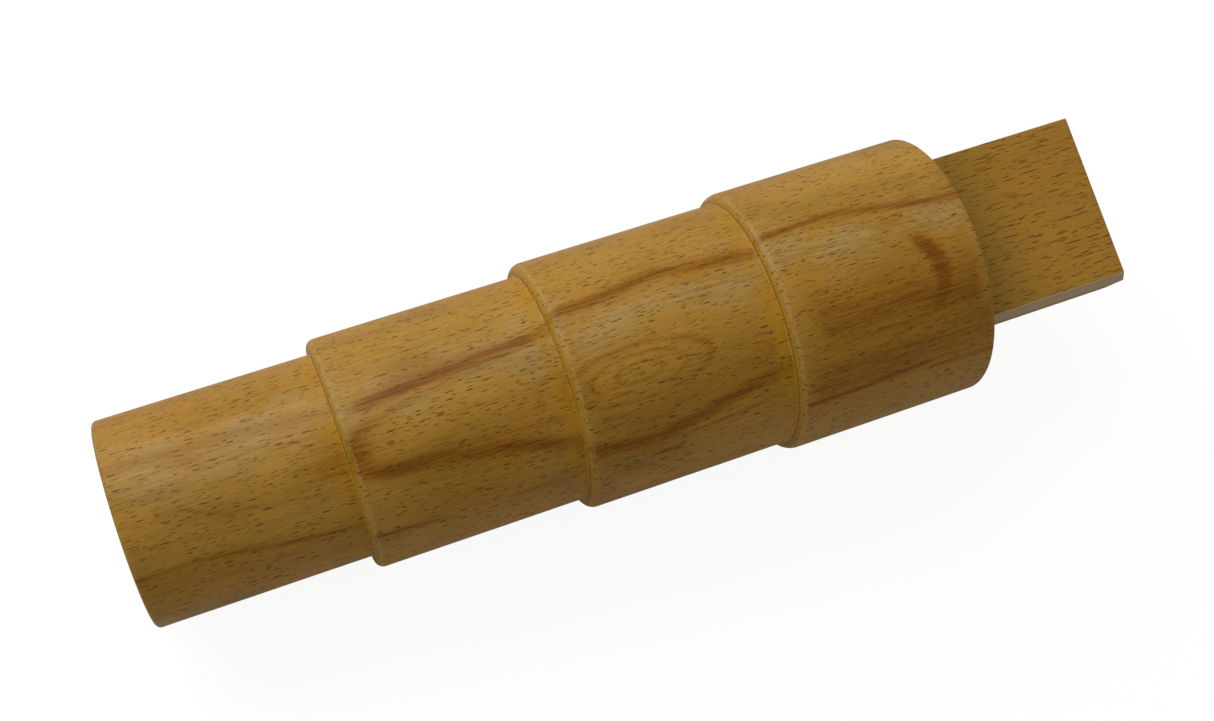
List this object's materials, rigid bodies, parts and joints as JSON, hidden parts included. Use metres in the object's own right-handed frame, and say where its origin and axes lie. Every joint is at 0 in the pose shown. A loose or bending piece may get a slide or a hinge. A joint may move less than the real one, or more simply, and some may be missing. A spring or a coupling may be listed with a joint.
{
  "type": "stepped bracelet mandrel",
  "caption": "Round wooden bracelet mandrel with cylindrical steps of growing diameter and a flat tang to hold it in a bench vice.",
  "frame": {"origin": "centre of the small round end face, on the axis of the turned steps", "axes": "+X along the turning axis from the small end to the tang; +Z square to the tang's broad faces; +Y completes the right-handed set and points away from the tang's chamfered side"},
  "size_m": [0.2915, 0.076, 0.076],
  "materials": {
    "body_beech": "turned steamed beech under a satin golden varnish, with dark ray flecks and brown heart streaks",
    "tang_beech": "planed straight-grained beech under a thinner satin varnish, with long dark ray flecks"
  },
  "bodies": {
    "root": {"stepped_body": "body_beech", "tang": "tang_beech"}
  },
  "joints": []
}
